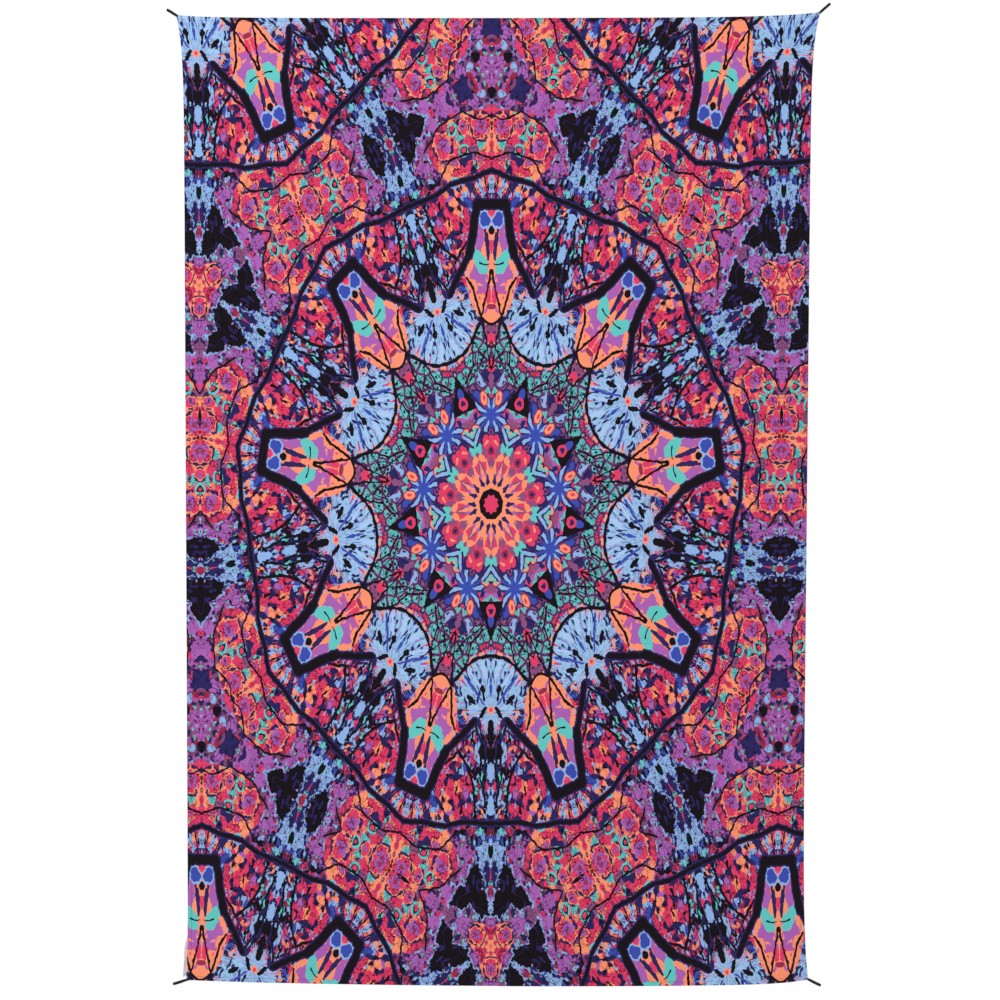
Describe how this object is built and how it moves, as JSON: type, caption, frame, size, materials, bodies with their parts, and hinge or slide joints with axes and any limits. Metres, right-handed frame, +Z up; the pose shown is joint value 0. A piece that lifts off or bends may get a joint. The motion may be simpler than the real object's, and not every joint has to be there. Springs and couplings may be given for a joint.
{
  "type": "tapestry wall hanging",
  "caption": "Upright hemmed cotton tapestry with an all-over kaleidoscope print, lockstitched hems and a hinged tape hanging loop at each corner.",
  "frame": {"origin": "middle of the hanging on the plane of the wall behind it, which the back legs of the loops lie on", "axes": "+X to the viewer's right, +Y into the wall, +Z up; the print faces -Y"},
  "size_m": [1.57, 0.007, 2.3232],
  "materials": {
    "printed_cotton": "plain-weave cotton, printed all over in pink-red, coral, purple, navy, light blue and teal, matte",
    "cotton_reverse": "unprinted plain-weave cotton with the print showing faintly through, matte",
    "sewing_thread": "dark spun thread",
    "black_tape": "black woven twill tape, matte"
  },
  "bodies": {
    "cloth": {"cloth_panel": "printed_cotton", "hem_top": "cotton_reverse", "hem_bottom": "cotton_reverse", "hem_left": "cotton_reverse", "hem_right": "cotton_reverse", "needle_thread_top": "sewing_thread", "needle_thread_bottom": "sewing_thread", "needle_thread_left": "sewing_thread", "needle_thread_right": "sewing_thread", "bobbin_thread_top": "sewing_thread", "bobbin_thread_bottom": "sewing_thread", "bobbin_thread_left": "sewing_thread", "bobbin_thread_right": "sewing_thread", "loop_tail_top_left": "black_tape", "loop_tail_top_right": "black_tape", "loop_tail_bottom_left": "black_tape", "loop_tail_bottom_right": "black_tape", "bartack_top_left": "sewing_thread", "bartack_top_right": "sewing_thread", "bartack_bottom_left": "sewing_thread", "bartack_bottom_right": "sewing_thread"},
    "top_left_loop": {"loop_top_left": "black_tape"},
    "top_right_loop": {"loop_top_right": "black_tape"},
    "bottom_left_loop": {"loop_bottom_left": "black_tape"},
    "bottom_right_loop": {"loop_bottom_right": "black_tape"}
  },
  "joints": [
    {"name": "top_left_swing", "type": "hinge", "parent": "cloth", "child": "top_left_loop", "pos_m": [-0.7542, -0.0012, 1.14772], "axis": [0.515, 0, 0.8572], "range_deg": [-90, 90], "stiffness_Nm_per_rad": 0.0005},
    {"name": "top_right_swing", "type": "hinge", "parent": "cloth", "child": "top_right_loop", "pos_m": [0.76906, -0.0012, 1.15492], "axis": [0.6561, 0, -0.7547], "range_deg": [-90, 90], "stiffness_Nm_per_rad": 0.0005},
    {"name": "bottom_left_swing", "type": "hinge", "parent": "cloth", "child": "bottom_left_loop", "pos_m": [-0.73134, -0.0012, -1.13141], "axis": [-0.2924, 0, 0.9563], "range_deg": [-90, 90], "stiffness_Nm_per_rad": 0.0005},
    {"name": "bottom_right_swing", "type": "hinge", "parent": "cloth", "child": "bottom_right_loop", "pos_m": [0.74026, -0.0012, -1.12961], "axis": [-0.4384, 0, -0.8988], "range_deg": [-90, 90], "stiffness_Nm_per_rad": 0.0005}
  ]
}
